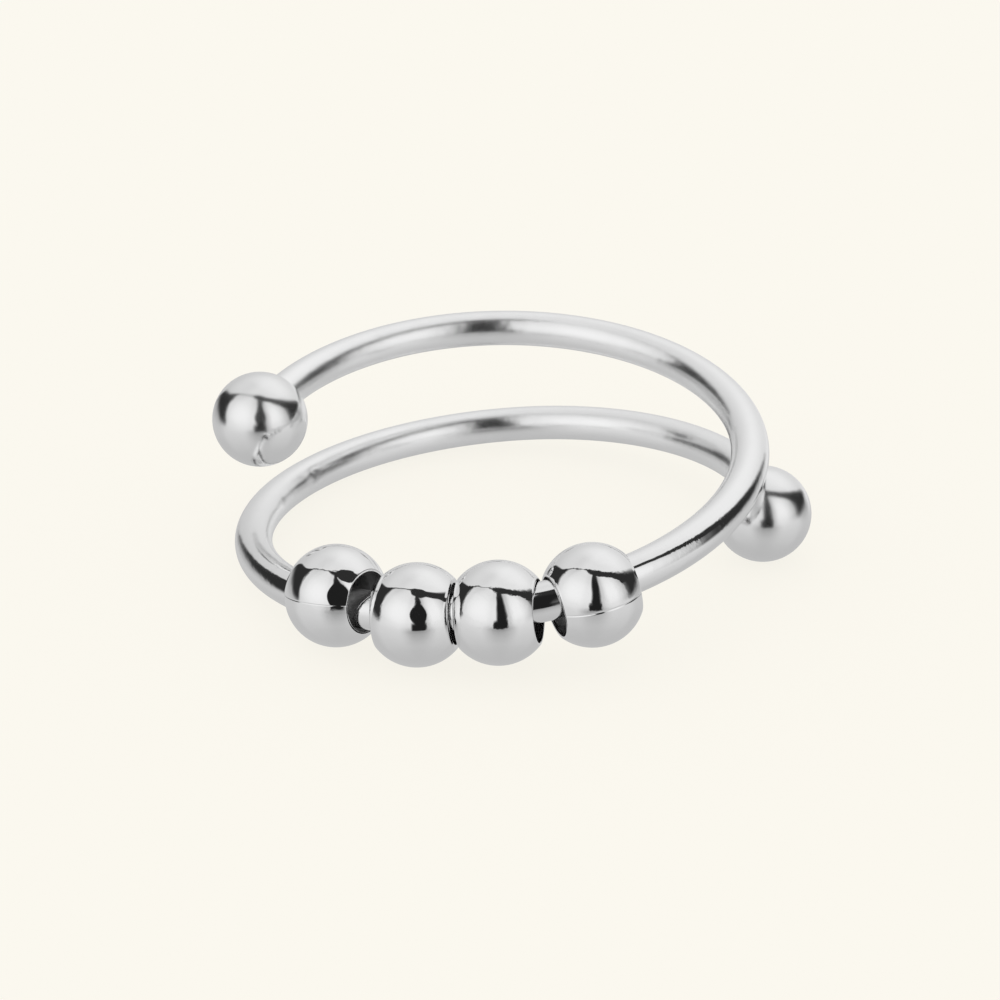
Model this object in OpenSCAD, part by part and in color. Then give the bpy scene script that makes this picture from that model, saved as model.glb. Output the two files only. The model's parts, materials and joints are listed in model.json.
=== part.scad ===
/* [Finger hollow] */
// Diameter of the finger hollow inside the front bend
hollow_diameter = 19.4; // [17:0.1:22]

/* [Wire] */
// Thickness of the round wire
wire_diameter = 1.55; // [1.2:0.05:1.8]
// How far the front half of the lower loop is sprung open, on the radius
lower_front_spread = 0.49; // [0.2:0.01:0.7]
// How far the end of the lower loop is sprung open, on the radius
lower_end_spread = -0.07; // [-0.2:0.01:0.2]
// How far the upper loop is sprung open, on the radius
upper_spread = -0.19; // [-0.4:0.01:0.3]
// Bend of the climbing front length, in degrees
climb_turn = 195; // [185:1:205]
// Bend of the lower loop, in degrees
lower_turn = 201; // [180:1:203]
// Bend of the upper loop, in degrees
upper_turn = 140; // [110:1:150]
// Degrees of twist for each degree of bend in the climb
climb_twist = 0.094; // [0.092:0.002:0.13]
// Twist halfway round the lower loop, in degrees
lower_twist = 1.7; // [0:0.1:3]
// Step left on the radius where two bends meet
bend_step = 0.003; // [0.002:0.001:0.006]

/* [End balls] */
// Diameter of the ball soldered on each end
end_ball_diameter = 4; // [3.2:0.1:4.1]

/* [Beads] */
// Diameter of each hollow bead
bead_diameter = 4; // [3.6:0.1:4.6]
// Wall of the hollow beads
bead_wall = 0.15; // [0.1:0.01:0.3]
// Width of the flat rim around a bead's hole
bead_rim = 0.084; // [0.06:0.004:0.16]
// Play of the holes on the wire beyond what the bend takes up
bead_play = 0.023; // [0:0.001:0.1]
// Gap kept between two beads, and between a bead and the wire
bead_gap = 0.05; // [0.03:0.01:0.1]
// Place of the middle pair of beads, as bend from the middle of the climb
pair_turn = -28.9; // [-32:0.1:-20]

/* [Rest] */
// Bend from the middle of the climb to where the lower loop touches the surface
contact_turn = -147.5; // [-150:0.1:-135]
// Turn of the whole ring on the surface, so that the beads face the front
facing_turn = -19.6; // [-30:0.1:30]

/* [Hidden] */
$fn = 96;

// Bends of the wire
wire_radius = wire_diameter / 2;
coil_radius = hollow_diameter / 2 + wire_radius;
upper_radius = coil_radius + upper_spread;
lower_front_radius = coil_radius + lower_front_spread;
lower_end_radius = coil_radius + lower_end_spread;
climb_pieces = 6;
side_pieces = climb_pieces / 2;
piece_turn = climb_turn / climb_pieces;
piece_twist = climb_twist * piece_turn;
half_climb = climb_turn / 2;
half_lower = lower_turn / 2;
lower_end = -half_climb - lower_turn;
upper_end = half_climb + upper_turn;
bend_overlap = 0.3;

// Beads: the holes clear the bend of the wire over the whole flush pair
bead_radius = bead_diameter / 2;
hole_play = pow(bead_diameter, 2) / (4 * coil_radius) + bead_play;
hole_radius = wire_radius + hole_play;
rim_radius = hole_radius + bead_rim;
half_bead = sqrt(pow(bead_radius, 2) - pow(rim_radius, 2));
pair_half = 2 * half_bead + bead_gap / 2;
pair_inset = pow(pair_half, 2) / (4 * coil_radius);
bead_inset = pow(half_bead, 2) / (2 * coil_radius);
room = hole_play - bead_gap;
pair_room = sqrt(pow(room, 2) - pow(pair_inset, 2));

// How far bead 1 leans towards the pair and moves up to it, in degrees
lean_1 = 3;
ease_1 = 0.3;

// How high each bead rides on the wire, as a share of its room
lift_1 = 0.85;
lift_pair = -0.64;
dip_pair = -0.34;
lift_4 = -0.93;
pair_lean = asin(dip_pair * pair_room / pair_half);

// Bend from the middle of the pair to the outer beads, where the inner rims just clear
pair_reach = coil_radius - rim_radius - pair_inset;
edge_turn = atan(pair_half / pair_reach);
outer_turn = edge_turn + asin((half_bead + bead_gap) / norm([pair_half, pair_reach]));

function bend(radius, turn) = [
    [cos(turn), -sin(turn), 0, radius * sin(turn)],
    [sin(turn), cos(turn), 0, radius * (1 - cos(turn))],
    [0, 0, 1, 0],
    [0, 0, 0, 1]
];
function twist(turn) = [
    [1, 0, 0, 0],
    [0, cos(turn), -sin(turn), 0],
    [0, sin(turn), cos(turn), 0],
    [0, 0, 0, 1]
];
function shift(x, y, z) = [[1, 0, 0, x], [0, 1, 0, y], [0, 0, 1, z], [0, 0, 0, 1]];

// Frame on the wire: X along it to the upper end, Y to the centre of the bend, turns counted
// from the middle of the climb
function along(turn) =
    turn >= 0 ? climb(turn, 1, 0, twist(piece_twist / 2)) : climb(-turn, -1, 0, twist(-piece_twist / 2));
function climb(left, side, piece, start) =
    piece == side_pieces ? loop(left, side, start)
    : left <= piece_turn ? start * bend(coil_radius, side * left)
    : climb(left - piece_turn, side, piece + 1,
        start * bend(coil_radius, side * piece_turn) * twist(side * joint_twist(piece)));
function joint_twist(piece) = piece == side_pieces - 1 ? piece_twist / 2 : piece_twist;
function loop(left, side, start) =
    side > 0 ? start * bend(upper_radius, left)
    : left <= half_lower ? start * bend(lower_front_radius, -left)
    : start * bend(lower_front_radius, -half_lower) * twist(-lower_twist)
        * bend(lower_end_radius, half_lower - left);

// Frames of the beads, with X along each bead's own axis
function bead_1_frame() =
    along(pair_turn - outer_turn + ease_1) * shift(0, bead_inset, lift_1 * room)
    * bend(0, lean_1);
function bead_4_frame() = along(pair_turn + outer_turn) * shift(0, bead_inset, lift_4 * room);
function pair_frame(side) =
    along(pair_turn) * shift(0, pair_inset, lift_pair * pair_room) * lean(pair_lean)
    * shift(side * (half_bead + bead_gap / 2), 0, 0);
function lean(turn) = [
    [cos(turn), 0, -sin(turn), 0],
    [0, 1, 0, 0],
    [sin(turn), 0, cos(turn), 0],
    [0, 0, 0, 1]
];
function place(frame) = [frame[0][3], frame[1][3], frame[2][3]];

// The ring lies on its lower end ball, on bead 1 and on the back of the lower loop
ball_foot = place(along(lower_end));
bead_foot = place(bead_1_frame());
wire_foot = place(along(contact_turn));
to_ball = ball_foot - wire_foot;
to_bead = bead_foot - wire_foot;
ball_rise = end_ball_diameter / 2 - wire_radius;
bead_rise = bead_radius - wire_radius;
foot_cross = cross(to_bead, to_ball);
foot_area = norm(foot_cross);
ball_share = (ball_rise * (to_bead * to_bead) - bead_rise * (to_ball * to_bead)) / pow(foot_area, 2);
bead_share = (bead_rise * (to_ball * to_ball) - ball_rise * (to_ball * to_bead)) / pow(foot_area, 2);
flat_part = ball_share * to_ball + bead_share * to_bead;
up = flat_part + foot_cross * sqrt(1 - flat_part * flat_part) / foot_area;

// Row axes: across to the right, deep to the back, up from the surface
level = [1, 0, 0] - up[0] * up;
side_line = level / norm(level);
across = cos(facing_turn) * side_line + sin(facing_turn) * cross(up, side_line);
deep = cross(up, across);
function laid(point) = [across * point, deep * point, up * point];

// Plan of the ring, so that its middle is the origin
wire_line = [for (turn = [lower_end:1:upper_end]) laid(place(along(turn)))];
ball_places = [laid(ball_foot), laid(place(along(upper_end)))];
bead_frames = [bead_1_frame(), pair_frame(-1), pair_frame(1), bead_4_frame()];
bead_places = [for (frame = bead_frames) laid(place(frame))];
function edge(axis, side) = max(concat(
    [for (p = wire_line) side * p[axis] + wire_radius],
    [for (p = ball_places) side * p[axis] + end_ball_diameter / 2],
    [for (p = bead_places) side * p[axis] + bead_radius]
));
function middle(axis) = (edge(axis, 1) - edge(axis, -1)) / 2;
surface = laid(wire_foot)[2] - wire_radius;

module lay_down() {
    multmatrix([
        [across[0], across[1], across[2], -middle(0)],
        [deep[0], deep[1], deep[2], -middle(1)],
        [up[0], up[1], up[2], -surface]
    ])
    children();
}

// One bend of round wire, centred on a place along the wire
module wire_bend(middle_turn, radius, turn, thickness) {
    multmatrix(along(middle_turn))
    translate([0, radius, 0])
    rotate([0, 0, -90 - turn / 2 - bend_overlap])
    rotate_extrude(angle = turn + 2 * bend_overlap)
    translate([radius, 0])
    circle(d = thickness);
}

module end_ball(turn) {
    multmatrix(along(turn))
    sphere(d = end_ball_diameter);
}

module ring_wire() {
    thin = wire_diameter - 2 * bend_step;
    color("silver")
    lay_down() {
        end_ball(lower_end);
        wire_bend(-half_climb - 1.5 * half_lower, lower_end_radius, half_lower, wire_diameter);
        wire_bend(-half_climb - 0.5 * half_lower, lower_front_radius, half_lower, thin);
        for (piece = [0:climb_pieces - 1])
            wire_bend((piece + 0.5) * piece_turn - half_climb, coil_radius, piece_turn,
                piece % 2 == 0 ? wire_diameter : thin);
        wire_bend(half_climb + upper_turn / 2, upper_radius, upper_turn, wire_diameter);
        end_ball(upper_end);
    }
}

// Hollow bead with a flat rim at each hole, its axis along X
module hollow_bead() {
    rotate([0, 90, 0])
    difference() {
        intersection() {
            sphere(d = bead_diameter);
            cylinder(d = bead_diameter + bead_wall, h = 2 * half_bead, center = true);
        }
        sphere(d = bead_diameter - 2 * bead_wall);
        cylinder(r = hole_radius, h = bead_diameter, center = true);
    }
}

module bead(index) {
    color("silver")
    lay_down()
    multmatrix(bead_frames[index])
    hollow_bead();
}

module bead_1() bead(0);
module bead_2() bead(1);
module bead_3() bead(2);
module bead_4() bead(3);

ring_wire();
bead_1();
bead_2();
bead_3();
bead_4();
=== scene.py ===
import json
from math import asin, atan2, cos, degrees, exp, log1p, pi, radians, sin, sqrt

import bmesh
import bpy
from mathutils import Matrix, Vector


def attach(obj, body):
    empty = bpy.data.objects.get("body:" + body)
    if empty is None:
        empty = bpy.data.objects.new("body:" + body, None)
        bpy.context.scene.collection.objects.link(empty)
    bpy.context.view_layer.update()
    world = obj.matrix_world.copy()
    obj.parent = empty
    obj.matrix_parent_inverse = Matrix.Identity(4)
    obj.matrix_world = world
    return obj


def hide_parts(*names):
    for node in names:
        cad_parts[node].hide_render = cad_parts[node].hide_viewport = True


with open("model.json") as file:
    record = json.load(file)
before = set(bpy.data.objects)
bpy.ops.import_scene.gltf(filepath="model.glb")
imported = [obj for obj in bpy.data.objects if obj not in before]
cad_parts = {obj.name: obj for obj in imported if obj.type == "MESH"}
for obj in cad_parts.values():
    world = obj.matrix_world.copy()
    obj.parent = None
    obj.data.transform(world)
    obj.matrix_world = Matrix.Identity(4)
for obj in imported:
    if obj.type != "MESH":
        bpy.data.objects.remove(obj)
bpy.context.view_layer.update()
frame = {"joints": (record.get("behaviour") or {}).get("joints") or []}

mm = 0.001

# Wire, in bends from the lower end ball to the upper one
wire_radius = 0.775 * mm
coil_radius = 10.475 * mm
lower_end_radius = 10.405 * mm
lower_front_radius = 10.965 * mm
upper_radius = 10.285 * mm
lower_half_turn = 100.5
lower_twist = 1.7
climb_pieces = 6
piece_turn = 32.5
piece_twist = 3.055
upper_turn = 140.0
wire_sides = 64
ring_spacing = 0.16 * mm

# Start of the wire, at the middle of the lower end ball: how it heads, climbs and banks there
wire_start = Vector((10.4705, -0.7677, 2.0)) * mm
start_heading = 80.736
start_climb = -0.5246
start_bank = -3.7455

# Balls soldered on the ends of the wire
end_ball_radius = 2.0 * mm
ball_rows = 60
solder_margin = radians(5)
solder_fillet = 0.09 * mm
fillet_segments = 4

# Hollow beads
bead_radius = 2.0 * mm
bead_wall = 0.15 * mm
rim_radius = 1.264 * mm
hole_radius = 1.18 * mm
half_bead = sqrt(bead_radius ** 2 - rim_radius ** 2)
rim_rounding = 0.02 * mm
rim_segments = 3
bead_steps = 180
bead_rows = 96
inner_rows = 24

# Seam of each bead, from hole to hole: a fine groove with its front edge a little lower.
# The values are its turn on the bead, the slope at the front edge, the width and the depth
seams = {
    "bead_1": (75.5, 0.08, 0.018 * mm, 0.014 * mm),
    "bead_2": (215, 0.05, 0.018 * mm, 0.014 * mm),
    "bead_3": (265, 0.05, 0.018 * mm, 0.014 * mm),
    "bead_4": (81, 0.10, 0.032 * mm, 0.024 * mm),
}
seam_reach = 0.30 * mm
seam_margin = radians(2)
seam_steps = 32

# Flat spots worn on the beads: azimuth from the front to the right, elevation and half width.
# The last spot of bead_2 and of bead_3 is the end where the two beads meet
bead_flats = {
    "bead_1": [(7.5, 25.8, 0.45 * mm), (20, 48.6, 0.27 * mm), (26.5, 46, 0.28 * mm)],
    "bead_2": [(3.5, 26.8, 0.33 * mm), (0, 51.3, 0.15 * mm), (9, 49.6, 0.17 * mm), (80.5, 5.8, 1.356 * mm)],
    "bead_3": [(-99.5, -5.8, 1.356 * mm)],
}
flat_share = 0.12
flat_softness = 0.002 * mm
flat_border = 8 * flat_softness

# Small dent in the upper end ball: the way it faces, its width and depth
ball_dent = ((7.4, 24.3), 0.15 * mm, 0.011 * mm)
# Soft tool marks on the inner side of the lower loop: place, the way it faces, width and depth
tool_marks = [
    (Vector((-8.61, 5.50, 1.06)) * mm, (58, 23), 0.26 * mm, 0.060 * mm),
    (Vector((-9.78, 2.65, 1.18)) * mm, (77, 30), 0.20 * mm, 0.038 * mm),
]
least_share = 0.001

merge_distance = 0.001 * mm
round_profile = 0.5


def bend(radius, turn):
    """Moves along a bend of the wire: X runs along it and Y points to its centre."""
    angle = radians(turn)
    place = Vector((radius * sin(angle), radius * (1 - cos(angle)), 0))
    return Matrix.Translation(place) @ Matrix.Rotation(angle, 4, "Z")


def twist(turn):
    """Turns about the wire's own run."""
    return Matrix.Rotation(radians(turn), 4, "X")


def wire_bends():
    """Radius and turn of each bend, and the twist after it."""
    return [
        (lower_end_radius, lower_half_turn, lower_twist),
        (lower_front_radius, lower_half_turn, piece_twist / 2),
        *[(coil_radius, piece_turn, piece_twist)] * (climb_pieces - 1),
        (coil_radius, piece_turn, piece_twist / 2),
        (upper_radius, upper_turn, 0),
    ]


def start_frame():
    """Frame at the start of the wire."""
    heading = Matrix.Rotation(radians(start_heading), 4, "Z")
    climb = Matrix.Rotation(radians(-start_climb), 4, "Y")
    return Matrix.Translation(wire_start) @ heading @ climb @ twist(start_bank)


def turn_to_solder(radius):
    """Turn of the wire between a ball's middle and its skin."""
    reach = sqrt(end_ball_radius ** 2 - wire_radius ** 2)
    return degrees(2 * asin(reach / 2 / radius))


def only_edges(geometry):
    return [item for item in geometry if isinstance(item, bmesh.types.BMEdge)]


def spin_bend(at, radius, turn, twisted):
    """Spins a circle through one bend. Gives the mesh and the edges at its two ends."""
    mesh = bmesh.new()
    facing = at @ twist(-twisted) @ Matrix.Rotation(pi / 2, 4, "Y")
    bmesh.ops.create_circle(mesh, radius=wire_radius, segments=wire_sides, matrix=facing)
    first = mesh.edges[:]
    spun = bmesh.ops.spin(
        mesh, geom=mesh.verts[:] + first, cent=at @ Vector((0, radius, 0)),
        axis=at.to_3x3() @ Vector((0, 0, 1)), angle=radians(turn),
        steps=round(radius * radians(turn) / ring_spacing), use_duplicate=False)
    return mesh, first, only_edges(spun["geom_last"])


def solder_ball(mesh, middle, out, ring):
    """Sets the end ring of the wire on the ball's skin, spins the ball on and fillets the joint."""
    pole = Vector()
    for vert in dict.fromkeys(vert for edge in ring for vert in edge.verts):
        offset = vert.co - middle
        reach = offset.dot(out)
        vert.co += out * (sqrt(reach ** 2 - offset.length_squared + end_ball_radius ** 2) - reach)
        pole += vert.co - middle
    pole.normalize()
    wire_parts = set(mesh.verts) | set(mesh.edges)
    across = pole.cross(ring[0].verts[0].co - middle).cross(pole).normalized()
    hole = asin(wire_radius / end_ball_radius) + solder_margin
    edge_point = mesh.verts.new(middle + (pole * cos(hole) + across * sin(hole)) * end_ball_radius)
    bmesh.ops.spin(
        mesh, geom=[edge_point], cent=middle, axis=pole.cross(across), angle=pi - hole, steps=ball_rows)
    profile = [item for item in mesh.verts[:] + mesh.edges[:] if item not in wire_parts]
    bmesh.ops.spin(
        mesh, geom=profile, cent=middle, axis=pole, angle=2 * pi, steps=wire_sides, use_merge=True)
    ball = [vert for vert in mesh.verts if vert not in wire_parts]
    bmesh.ops.remove_doubles(mesh, verts=ball, dist=merge_distance)
    ball = {vert for vert in mesh.verts if vert not in wire_parts}
    mouth = [edge for edge in mesh.edges if edge.is_boundary and edge.verts[0] in ball]
    bmesh.ops.bridge_loops(mesh, edges=mouth + ring)
    bmesh.ops.recalc_face_normals(mesh, faces=mesh.faces)
    bmesh.ops.bevel(
        mesh, geom=ring, offset=solder_fillet, offset_type="OFFSET", affect="EDGES",
        segments=fillet_segments, profile=round_profile, material=-1)
    skin = end_ball_radius + solder_fillet / 2
    for face in mesh.faces:
        face.material_index = int((face.calc_center_median() - middle).length < skin)


def outward(azimuth, elevation):
    """Direction of an azimuth, from the front to the right, and an elevation."""
    turn, rise = radians(azimuth), radians(elevation)
    return Vector((sin(turn) * cos(rise), -cos(turn) * cos(rise), sin(rise)))


def dent(mesh, spot, facing, width, depth):
    """Presses a soft dent into the wire or a ball."""
    out = outward(*facing)
    for vert in mesh.verts:
        share = exp(-((vert.co - spot).length / width) ** 2 / 2)
        if share > least_share:
            vert.co -= out * depth * share


def press_flat(mesh, middle, azimuth, elevation, half_width):
    """Presses a nearly flat spot with a soft border onto a bead."""
    out = outward(azimuth, elevation)
    height = sqrt(bead_radius ** 2 - half_width ** 2)
    for vert in mesh.verts:
        over = (vert.co - middle).dot(out) - height
        if over > -flat_border:
            pressed = over if over > flat_border else flat_softness * log1p(exp(over / flat_softness))
            vert.co -= out * pressed * (1 - flat_share)


def join(whole, piece):
    """Adds one mesh to another."""
    data = bpy.data.meshes.new("piece")
    piece.to_mesh(data)
    piece.free()
    whole.from_mesh(data)
    bpy.data.meshes.remove(data)


def finish_mesh(mesh, name):
    """Makes the object at the origin, smooth shaded."""
    for face in mesh.faces:
        face.smooth = True
    data = bpy.data.meshes.new(name)
    mesh.to_mesh(data)
    mesh.free()
    made = bpy.data.objects.new(name, data)
    bpy.context.scene.collection.objects.link(made)
    return made


def wire_with_balls():
    """The wire, bend by bend, with a ball soldered on each end."""
    whole = bmesh.new()
    at = start_frame()
    twisted = 0
    bends = wire_bends()
    for index, (radius, turn, after) in enumerate(bends):
        if index == 0:
            ball = at.translation.copy()
            trim = turn_to_solder(radius)
            at = at @ bend(radius, trim)
            mesh, first, _ = spin_bend(at, radius, turn - trim, twisted)
            solder_ball(mesh, ball, at.to_3x3() @ Vector((1, 0, 0)), first)
            at = at @ bend(radius, turn - trim)
        elif index == len(bends) - 1:
            trim = turn_to_solder(radius)
            mesh, _, last = spin_bend(at, radius, turn - trim, twisted)
            at = at @ bend(radius, turn - trim)
            ball = at @ bend(radius, trim).translation
            solder_ball(mesh, ball, at.to_3x3() @ Vector((-1, 0, 0)), last)
            facing, width, depth = ball_dent
            dent(mesh, ball + outward(*facing) * end_ball_radius, facing, width, depth)
        else:
            mesh = spin_bend(at, radius, turn, twisted)[0]
            at = at @ bend(radius, turn)
        join(whole, mesh)
        at = at @ twist(after)
        twisted += after
    bmesh.ops.remove_doubles(whole, verts=whole.verts, dist=merge_distance)
    for mark in tool_marks:
        dent(whole, *mark)
    bmesh.ops.recalc_face_normals(whole, faces=whole.faces)
    return finish_mesh(whole, "wire_with_end_balls")


def bead_frame(joint):
    """Frame of a bead: X along its axis, Z up and Y away from the front."""
    along = Vector(joint["axis"]).normalized()
    away = Vector((0, 0, 1)).cross(along).normalized()
    up = along.cross(away)
    turned = Matrix((along, away, up)).transposed().to_4x4()
    return Matrix.Translation(Vector(joint["pos_m"])) @ turned


def bead_profile(mesh):
    """Half section of the hollow bead, closed, in the plane of X and Z."""
    outer_half = asin(half_bead / bead_radius)
    inner_radius = bead_radius - bead_wall
    bore_half = sqrt(inner_radius ** 2 - hole_radius ** 2)
    inner_half = asin(bore_half / inner_radius)
    rim = mesh.verts.new((-half_bead, 0, rim_radius))
    outer = bmesh.ops.spin(
        mesh, geom=[rim], cent=(0, 0, 0), axis=(0, 1, 0), angle=2 * outer_half, steps=bead_rows)
    far_rim = next(item for item in outer["geom_last"] if isinstance(item, bmesh.types.BMVert))
    bore = mesh.verts.new((bore_half, 0, hole_radius))
    inner = bmesh.ops.spin(
        mesh, geom=[bore], cent=(0, 0, 0), axis=(0, 1, 0), angle=-2 * inner_half, steps=inner_rows)
    far_bore = next(item for item in inner["geom_last"] if isinstance(item, bmesh.types.BMVert))
    near_mouth = mesh.verts.new((-half_bead, 0, hole_radius))
    far_mouth = mesh.verts.new((half_bead, 0, hole_radius))
    for pair in ((far_rim, far_mouth), (far_mouth, bore), (far_bore, near_mouth), (near_mouth, rim)):
        mesh.edges.new(pair)


def bead_blank():
    """The hollow bead before its seam and dents, in fine steps at its top, where the seam goes."""
    mesh = bmesh.new()
    bead_profile(mesh)
    start = Matrix.Rotation(-seam_margin, 3, "X")
    bmesh.ops.rotate(mesh, verts=mesh.verts, cent=(0, 0, 0), matrix=start)
    fine = bmesh.ops.spin(
        mesh, geom=mesh.verts[:] + mesh.edges[:], cent=(0, 0, 0), axis=(1, 0, 0),
        angle=2 * seam_margin, steps=seam_steps)
    bmesh.ops.spin(
        mesh, geom=fine["geom_last"], cent=(0, 0, 0), axis=(1, 0, 0),
        angle=2 * pi - 2 * seam_margin, steps=bead_steps)
    bmesh.ops.remove_doubles(mesh, verts=mesh.verts, dist=merge_distance)
    rims = [edge for edge in mesh.edges if all(
        abs(abs(vert.co.x) - half_bead) < merge_distance for vert in edge.verts)
        and abs(edge.verts[0].co.yz.length - edge.verts[1].co.yz.length) < merge_distance]
    bmesh.ops.bevel(
        mesh, geom=rims, offset=rim_rounding, offset_type="OFFSET", affect="EDGES",
        segments=rim_segments, profile=round_profile, material=-1)
    inside = bead_radius - bead_wall / 2
    for face in mesh.faces:
        middle = face.calc_center_median()
        face.material_index = int(middle.length < inside and middle.yz.length > hole_radius)
    # The faces are turned outwards here, while the bead is still round
    bmesh.ops.recalc_face_normals(mesh, faces=mesh.faces)
    return mesh


def press_seam(mesh, slope, width, depth):
    """Presses the groove into the top of the bead, with the front edge of the seam lower."""
    for vert in mesh.verts:
        if vert.co.length < bead_radius - bead_wall / 2:
            continue
        way = atan2(-vert.co.y, vert.co.z) * bead_radius
        sunk = depth * exp(-(way / width) ** 2)
        if way > 0:
            sunk += slope * way * exp(-way / seam_reach)
        vert.co -= vert.co.normalized() * sunk


def hollow_bead(blank, body, joint):
    """One bead with its own seam and flat spots, in its place."""
    mesh = blank.copy()
    turn, *groove = seams[body]
    press_seam(mesh, *groove)
    at = bead_frame(joint)
    mesh.transform(at @ twist(turn))
    for spot in bead_flats.get(body, []):
        press_flat(mesh, at.translation, *spot)
    return finish_mesh(mesh, body + "_shell")


# Shades and angles as the nodes count them, and the screen's curve from a shade to its light
white = 255
half_turn = 180
screen_offset = 0.055
screen_power = 2.4


class Wires:
    """Links nodes of one material with short calls."""

    def __init__(self, tree):
        self.tree = tree
        tree.nodes.clear()

    def node(self, kind, inputs=(), **settings):
        made = self.tree.nodes.new(kind)
        for name, value in settings.items():
            setattr(made, name, value)
        for name, value in dict(inputs).items():
            if isinstance(value, bpy.types.NodeSocket):
                self.tree.links.new(value, made.inputs[name])
            else:
                made.inputs[name].default_value = value
        return made

    def maths(self, operation, first, second=0.0):
        return self.node("ShaderNodeMath", {0: first, 1: second}, operation=operation).outputs[0]

    def product(self, first, *others):
        for other in others:
            first = self.maths("MULTIPLY", first, other)
        return first

    def less(self, first, second):
        return self.maths("SUBTRACT", first, second)

    def fade(self, value, start, end):
        """0 at start and 1 at end, with a soft step between."""
        made = self.node("ShaderNodeMapRange", {0: value, 1: start, 2: end}, interpolation_type="SMOOTHSTEP")
        return made.outputs[0]

    def mix(self, share, low, high):
        made = self.node("ShaderNodeMix", {0: share, 2: low, 3: high}, data_type="FLOAT")
        return made.outputs[0]

    def curve(self, angle, points, low, high):
        """A smooth curve through points, from an angle in degrees to a value from low to high."""
        share = self.maths("ADD", self.maths("DIVIDE", angle, 2 * half_turn), 0.5)
        made = self.node("ShaderNodeFloatCurve", {"Value": share})
        line = made.mapping.curves[0]
        spots = [((x + half_turn) / (2 * half_turn), (y - low) / (high - low)) for x, y in points]
        while len(line.points) < len(spots):
            line.points.new(0.5, 0.5)
        for point, spot in zip(line.points, spots):
            point.location = spot
            point.handle_type = "AUTO_CLAMPED"
        made.mapping.update()
        return self.maths("ADD", self.maths("MULTIPLY", made.outputs[0], high - low), low)

    def edge(self, angle, points):
        return self.curve(angle, points, -half_turn, half_turn)

    def shade(self, angle, points):
        return self.curve(angle, points, 0, white)

    def light(self, shade):
        """Linear light of a shade from 0 to 255 as a screen shows it."""
        raised = self.maths("ADD", self.maths("DIVIDE", shade, white), screen_offset)
        return self.maths("POWER", self.maths("DIVIDE", raised, 1 + screen_offset), screen_power)

    def finish(self, shader):
        out = self.node("ShaderNodeOutputMaterial")
        self.tree.links.new(shader.outputs[0], out.inputs[0])


def linear(shade):
    """Linear light of a shade from 0 to 255 as a screen shows it."""
    return ((shade / white + screen_offset) / (1 + screen_offset)) ** screen_power


def new_material(name):
    made = bpy.data.materials.new(name)
    made.use_nodes = True
    return made, Wires(made.node_tree)


# Bright silver-tone plating. On the wire it goes from mirror polish in front to worn polish behind, with its
# colour painted paler behind as painted light, and its drawn grain runs along the wire, a quarter turn from
# the nodes' own direction
plating_shade = 0.93
# Paler plating colour at the back of the wire: painted light for brighter reflections there
painted_light_back_shade = 0.99
mirror_polish = 0.05
ball_polish = 0.17
worn_polish = 0.23
worn_and_painted_light_fade = (-9.0 * mm, 2.0 * mm)
polish_scale = 900.0
polish_spread = (0.7, 1.3)
draw_grain = 0.85
draw_turn = 0.25

# Unevenness of the plating. Its grain is in front alone and in patches
wave_scale = 1500.0
wave_height = 0.010 * mm
grain_scale = 7000.0
wire_grain = 0.005 * mm
bead_grain = 0.0025 * mm
grain_fade = (-2.0 * mm, -4.5 * mm)
patch_fade = (0.40, 0.60)

# Between the beads the wire's plating is smooth. Its grain comes in at this distance from the middle
smooth_fade = (2.5 * mm, 4.5 * mm)

# Dark metal inside the beads: its darker colour is painted shade in the hollow
inside_painted_shades = (0.288, 0.432)
inside_roughness = 0.42


def uneven(wires, place, grain_height):
    """Surface of plating that isn't quite even: long waves, and a fine grain in patches."""
    waves = wires.node("ShaderNodeTexNoise", {"Vector": place, "Scale": wave_scale, "Detail": 1.0})
    wavy = wires.node("ShaderNodeBump", {"Height": waves.outputs[0], "Distance": wave_height})
    grain = wires.node("ShaderNodeTexNoise", {"Vector": place, "Scale": grain_scale, "Detail": 1.0})
    patches = wires.node("ShaderNodeTexNoise", {"Vector": place, "Scale": polish_scale, "Detail": 0.0})
    depth = wires.node("ShaderNodeSeparateXYZ", {0: place}).outputs[1]
    height = wires.product(
        grain.outputs[0], wires.fade(patches.outputs[0], *patch_fade), wires.fade(depth, *grain_fade))
    grainy = wires.node("ShaderNodeBump", {
        "Height": height, "Distance": grain_height, "Normal": wavy.outputs[0]})
    return grainy.outputs[0]


def plating(name, front, back, grain_height, drawn=0.0):
    """Bright plating, more polished in front than at the back, with any drawn grain along the wire."""
    made, wires = new_material(name)
    place = wires.node("ShaderNodeTexCoord").outputs["Object"]
    side, depth = wires.node("ShaderNodeSeparateXYZ", {0: place}).outputs[:2]
    # Fade from front to back: more worn polish, and on the wire a paler colour that is painted light
    worn_and_painted_light = wires.fade(depth, *worn_and_painted_light_fade)
    spots = wires.node("ShaderNodeTexNoise", {"Vector": place, "Scale": polish_scale, "Detail": 3.0})
    rough = wires.product(wires.mix(worn_and_painted_light, front, back), wires.mix(spots.outputs[0], *polish_spread))
    if drawn:
        rubbed = wires.fade(wires.maths("ABSOLUTE", side), *smooth_fade)
        grain_height = wires.product(rubbed, grain_height)
    inputs = {
        "Base Color": (plating_shade, plating_shade, plating_shade, 1), "Metallic": 1.0,
        "Roughness": rough, "Normal": uneven(wires, place, grain_height)}
    if drawn:
        # The wire's colour goes paler towards the back: painted light
        along = wires.node("ShaderNodeTangent", direction_type="RADIAL", axis="Z")
        inputs.update({
            "Base Color": wires.mix(worn_and_painted_light, plating_shade, painted_light_back_shade), "Anisotropic": drawn,
            "Anisotropic Rotation": draw_turn, "Tangent": along.outputs[0]})
    wires.finish(wires.node("ShaderNodeBsdfPrincipled", inputs))
    return made


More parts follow.
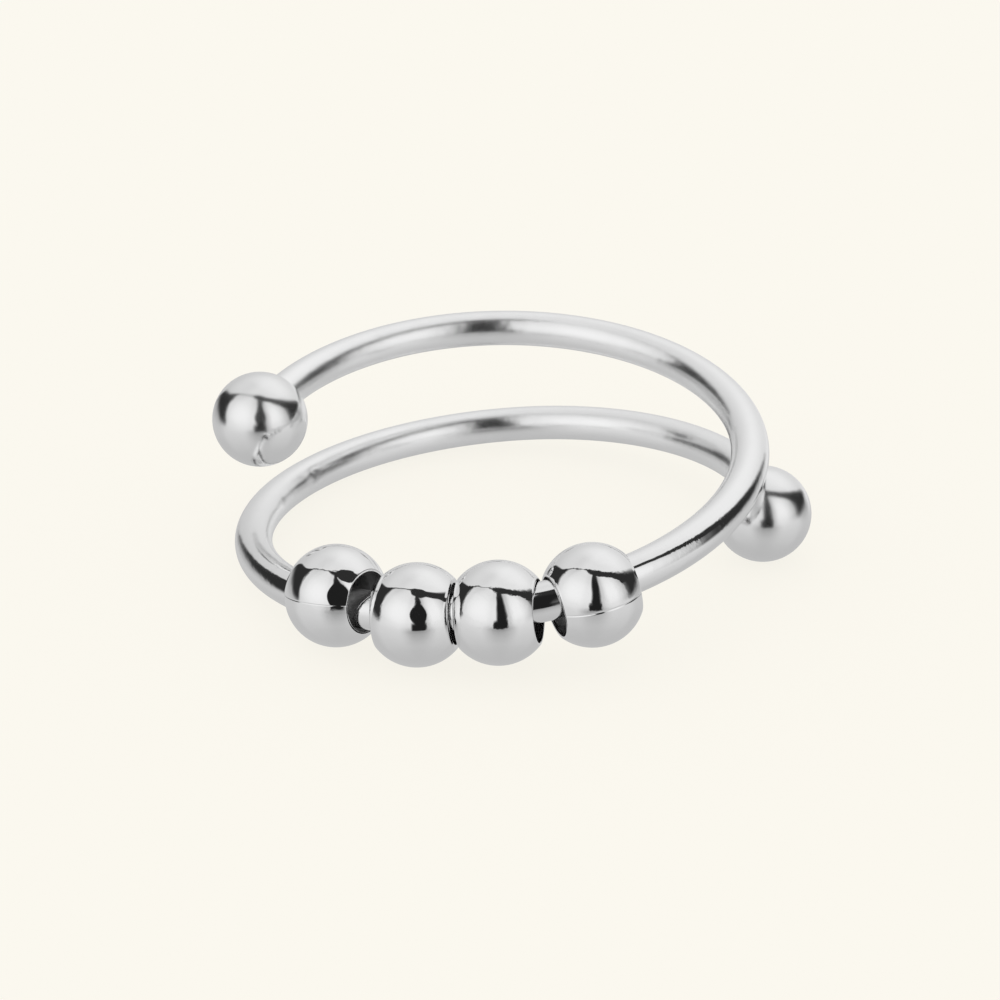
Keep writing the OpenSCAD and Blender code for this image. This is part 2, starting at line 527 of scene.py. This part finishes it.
def painted_shade_inside():
    """Dark metal inside a bead: its darker colour is painted shade in the hollow."""
    made, wires = new_material("painted_shade_inside")
    place = wires.node("ShaderNodeTexCoord").outputs["Object"]
    spots = wires.node("ShaderNodeTexNoise", {"Vector": place, "Scale": polish_scale, "Detail": 2.0})
    # Painted shade: the colour inside the bead is darker, in patches
    tone = wires.mix(spots.outputs[0], *inside_painted_shades)
    shader = wires.node("ShaderNodeBsdfPrincipled", {
        "Base Color": tone, "Metallic": 1.0, "Roughness": inside_roughness})
    wires.finish(shader)
    return made


# Studio that the metal reflects. Azimuths run from the front to the right, shades from 0 to 255
dome_radius = 0.5
dome_segments = 64
dome_rings = 32
gap_shade = 44
slot_shade = 30
back_shades = [(-90, 205), (0, 208), (15, 211), (28, 219), (40, 226), (50, 228), (62, 226), (80, 222),
               (90, 221)]
back_sides = [(-180, 236), (-150, 222), (-120, 221), (-95, 226), (-60, 238), (90, 236), (125, 243),
              (160, 243), (180, 237)]
back_middle = 237
back_edge = [(-180, -25), (-152, -10), (-146, 2), (-140, 12), (-130, 22), (-120, 31.5), (-110, 45),
             (-104, 53.5), (-98, 58.6), (-90, 64.6), (-80, 70.2), (-65, 75.5), (-50, 78.5), (-20, 81.5),
             (20, 80.5), (45, 76), (60, 69), (75, 58.5), (90, 43.5), (104, 29.5), (111, 24), (120, 15),
             (128, 8), (136, 0), (145, -14), (180, -25)]
back_softness = [(-180, 2), (40, 2), (80, 6), (100, 10), (140, 8), (180, 2)]
left_top = [(-180, 0), (-110, 30), (-104, 50), (-98, 56.5), (-90, 62.5), (-80, 68.3), (-65, 73),
            (-50, 75), (-40, 74.3), (-20, 72), (20, 70), (180, 70)]
right_top = [(-180, 62), (10, 64), (20, 66), (30, 64), (45, 59), (60, 51), (75, 39), (85, 26), (180, 0)]
left_side = [(-90, -84), (0, -85), (13, -91), (21, -95), (30, -99), (38, -101), (46, -105), (55, -104),
             (90, -104)]
left_shades = [(-180, 212), (-90, 216), (-75, 230), (-60, 238), (-45, 240), (-30, 238), (-15, 230),
               (180, 222)]
right_shades = [(-180, 190), (20, 200), (30, 226), (40, 238), (50, 238), (60, 228), (70, 210),
                (80, 180), (90, 120), (180, 100)]
box_rows = [(-90, 228), (0, 240), (10, 250), (25, 255), (40, 252), (55, 241), (70, 234), (90, 234)]
low_edge = [(-180, -20), (-150, -6), (-135, 1), (-120, 1), (-105, -4), (-90, -5), (90, -3), (105, 0),
            (120, 1), (128, 4), (136, 2), (145, -2), (180, -20)]
front_floor = [(-90, 184), (-65, 188), (-55, 191), (-45, 196), (-35, 200), (-25, 205), (-15, 210),
               (-5, 218), (5, 228), (90, 228)]
side_floor = [(-90, 184), (-55, 187), (-35, 189), (-20, 195), (-10, 180), (0, 155), (10, 135),
              (90, 135)]
behind_floor = [(-90, 184), (-35, 189), (-20, 200), (-10, 222), (90, 222)]
floor_shadow = [(-90, 0), (-50, 8), (-35, 20), (-25, 36), (-15, 56), (-8, 76), (90, 76)]

# Where one part of the studio fades into the next, in degrees past its edge
box_fade = (-1.5, 1.5)
box_side_fade = (-5, 5)
floor_fade = (-7, 7)

# The same in degrees of azimuth
slot_sides = [(-30, -15), (40, 25)]
left_end = (1, -7)
right_ends = [(13, 21), (96, 78)]
foot_sides = [(-12, -6), (22, 16)]
shadow_sides = [(-38, 0), (46, 8)]
slot_end_sides = [(-13, -7), (23, 17)]
side_floor_fade = (80, 108)
behind_floor_fade = (122, 142)

# The same in degrees of elevation
zenith_fade = (62, 86)
slot_top = (66, 50)
foot_top = (14, 2)
slot_end_fade = (-6.5, -9.5)


def studio_shade(wires, azimuth, elevation):
    """Two softboxes with a slot between them, a bright sweep behind, and the floor."""
    def within(sides):
        return wires.product(*[wires.fade(azimuth, *side) for side in sides])

    over_back = wires.less(elevation, wires.edge(azimuth, back_edge))
    behind = wires.fade(over_back, box_fade[0], wires.edge(azimuth, back_softness))
    near_slot = wires.product(within(slot_sides), wires.fade(elevation, *slot_top))
    shade = wires.mix(near_slot, gap_shade, slot_shade)
    side = wires.mix(wires.fade(elevation, *zenith_fade), wires.shade(azimuth, back_sides), back_middle)
    back = wires.product(wires.shade(elevation, back_shades), wires.maths("DIVIDE", side, back_middle))
    shade = wires.mix(behind, shade, back)

    row = wires.maths("DIVIDE", wires.shade(elevation, box_rows), white)
    from_side = wires.less(azimuth, wires.edge(elevation, left_side))
    left = wires.product(
        wires.fade(wires.less(wires.edge(azimuth, left_top), elevation), *box_fade),
        wires.fade(from_side, *box_side_fade), wires.fade(azimuth, *left_end))
    shade = wires.mix(left, shade, wires.product(wires.shade(azimuth, left_shades), row))
    right = wires.product(
        wires.fade(wires.less(wires.edge(azimuth, right_top), elevation), *box_fade), within(right_ends))
    shade = wires.mix(right, shade, wires.product(wires.shade(azimuth, right_shades), row))

    foot = wires.product(within(foot_sides), wires.fade(elevation, *foot_top))
    shade = wires.mix(foot, shade, slot_shade)

    beside = wires.fade(wires.maths("ABSOLUTE", azimuth), *side_floor_fade)
    floor = wires.mix(beside, wires.shade(elevation, front_floor), wires.shade(elevation, side_floor))
    floor = wires.mix(wires.fade(azimuth, *behind_floor_fade), floor, wires.shade(elevation, behind_floor))
    shadow = wires.maths("DIVIDE", wires.shade(elevation, floor_shadow), white)
    floor = wires.product(floor, wires.less(1.0, wires.product(within(shadow_sides), shadow)))
    below = wires.fade(wires.less(wires.edge(azimuth, low_edge), elevation), *floor_fade)
    slot_end = wires.fade(elevation, *slot_end_fade)
    return wires.mix(wires.mix(within(slot_end_sides), below, slot_end), shade, floor)


def studio_material():
    """Light of the studio in each direction from the ring."""
    made, wires = new_material("studio_light")
    place = wires.node("ShaderNodeTexCoord").outputs["Object"]
    unit = wires.node("ShaderNodeVectorMath", {0: place}, operation="NORMALIZE").outputs[0]
    x, y, z = wires.node("ShaderNodeSeparateXYZ", {0: unit}).outputs
    turn = wires.maths("ARCTAN2", x, wires.maths("MULTIPLY", y, -1.0))
    azimuth = wires.maths("DEGREES", turn)
    elevation = wires.maths("DEGREES", wires.maths("ARCSINE", z))
    light = wires.light(studio_shade(wires, azimuth, elevation))
    wires.finish(wires.node("ShaderNodeEmission", {"Strength": wires.maths("DIVIDE", light, plating_shade)}))
    return made


def studio_dome():
    """A dome that only the metal sees, with the softboxes and dark gaps of the studio."""
    mesh = bmesh.new()
    bmesh.ops.create_uvsphere(mesh, u_segments=dome_segments, v_segments=dome_rings, radius=dome_radius)
    dome = finish_mesh(mesh, "studio_dome")
    dome.data.materials.append(studio_material())
    dome.visible_camera = dome.visible_diffuse = dome.visible_shadow = False
    dome.visible_transmission = dome.visible_volume_scatter = False


# Pale floor, as the screen shows it
floor_colour = (251, 248, 239)
floor_albedo = 0.98
floor_glow = 0.88
floor_half = 2.0


def pale_floor():
    """A floor that takes a faint shadow."""
    mesh = bmesh.new()
    bmesh.ops.create_grid(mesh, x_segments=2, y_segments=2, size=floor_half)
    floor = finish_mesh(mesh, "floor")
    made, wires = new_material("floor_paint")
    paint = wires.node("ShaderNodeBsdfDiffuse", {"Color": (floor_albedo, floor_albedo, floor_albedo, 1)})
    glow = wires.node("ShaderNodeEmission", {"Color": (*[linear(shade) for shade in floor_colour], 1)})
    wires.finish(wires.node("ShaderNodeMixShader", {
        0: floor_glow, 1: paint.outputs[0], 2: glow.outputs[0]}))
    floor.data.materials.append(made)
    floor.visible_glossy = False


def pale_world():
    """Even pale light from all round."""
    world = bpy.data.worlds.new("soft_light")
    bpy.context.scene.world = world
    world.use_nodes = True
    world.cycles.sampling_method = "NONE"
    wires = Wires(world.node_tree)
    colour = [linear(shade) / floor_albedo for shade in floor_colour]
    shader = wires.node("ShaderNodeBackground", {"Color": (*colour, 1)})
    out = wires.node("ShaderNodeOutputWorld")
    world.node_tree.links.new(shader.outputs[0], out.inputs[0])


# Camera
camera_place = Vector((0.0649, -87.1272, 42.0544)) * mm
camera_turn = 0.309
camera_down = 24.475
camera_roll = -0.730
camera_lens = 82.724
camera_sensor = 36
camera_clip = (0.001, 10)


def set_camera():
    data = bpy.data.cameras.new("camera")
    data.lens = camera_lens
    data.sensor_width = camera_sensor
    data.clip_start, data.clip_end = camera_clip
    camera = bpy.data.objects.new("camera", data)
    bpy.context.scene.collection.objects.link(camera)
    turn = Matrix.Rotation(radians(camera_turn), 4, "Z")
    down = Matrix.Rotation(radians(90 - camera_down), 4, "X")
    roll = Matrix.Rotation(radians(camera_roll), 4, "Z")
    camera.matrix_world = Matrix.Translation(camera_place) @ turn @ down @ roll
    bpy.context.scene.camera = camera


set_camera()

wire = wire_with_balls()
wire.data.materials.append(plating("wire_plating", mirror_polish, worn_polish, wire_grain, draw_grain))
wire.data.materials.append(plating("ball_plating", ball_polish, ball_polish, bead_grain))
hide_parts("ring_wire")
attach(wire, "ring_wire")

bead_plating = plating("bead_plating", mirror_polish, mirror_polish, bead_grain)
dark_inside = painted_shade_inside()
blank = bead_blank()
for joint in frame["joints"]:
    body = joint["child"]
    bead = hollow_bead(blank, body, joint)
    bead.data.materials.append(bead_plating)
    bead.data.materials.append(dark_inside)
    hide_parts(body)
    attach(bead, body)
blank.free()

studio_dome()
pale_floor()
pale_world()
bpy.context.scene.view_settings.view_transform = "Standard"
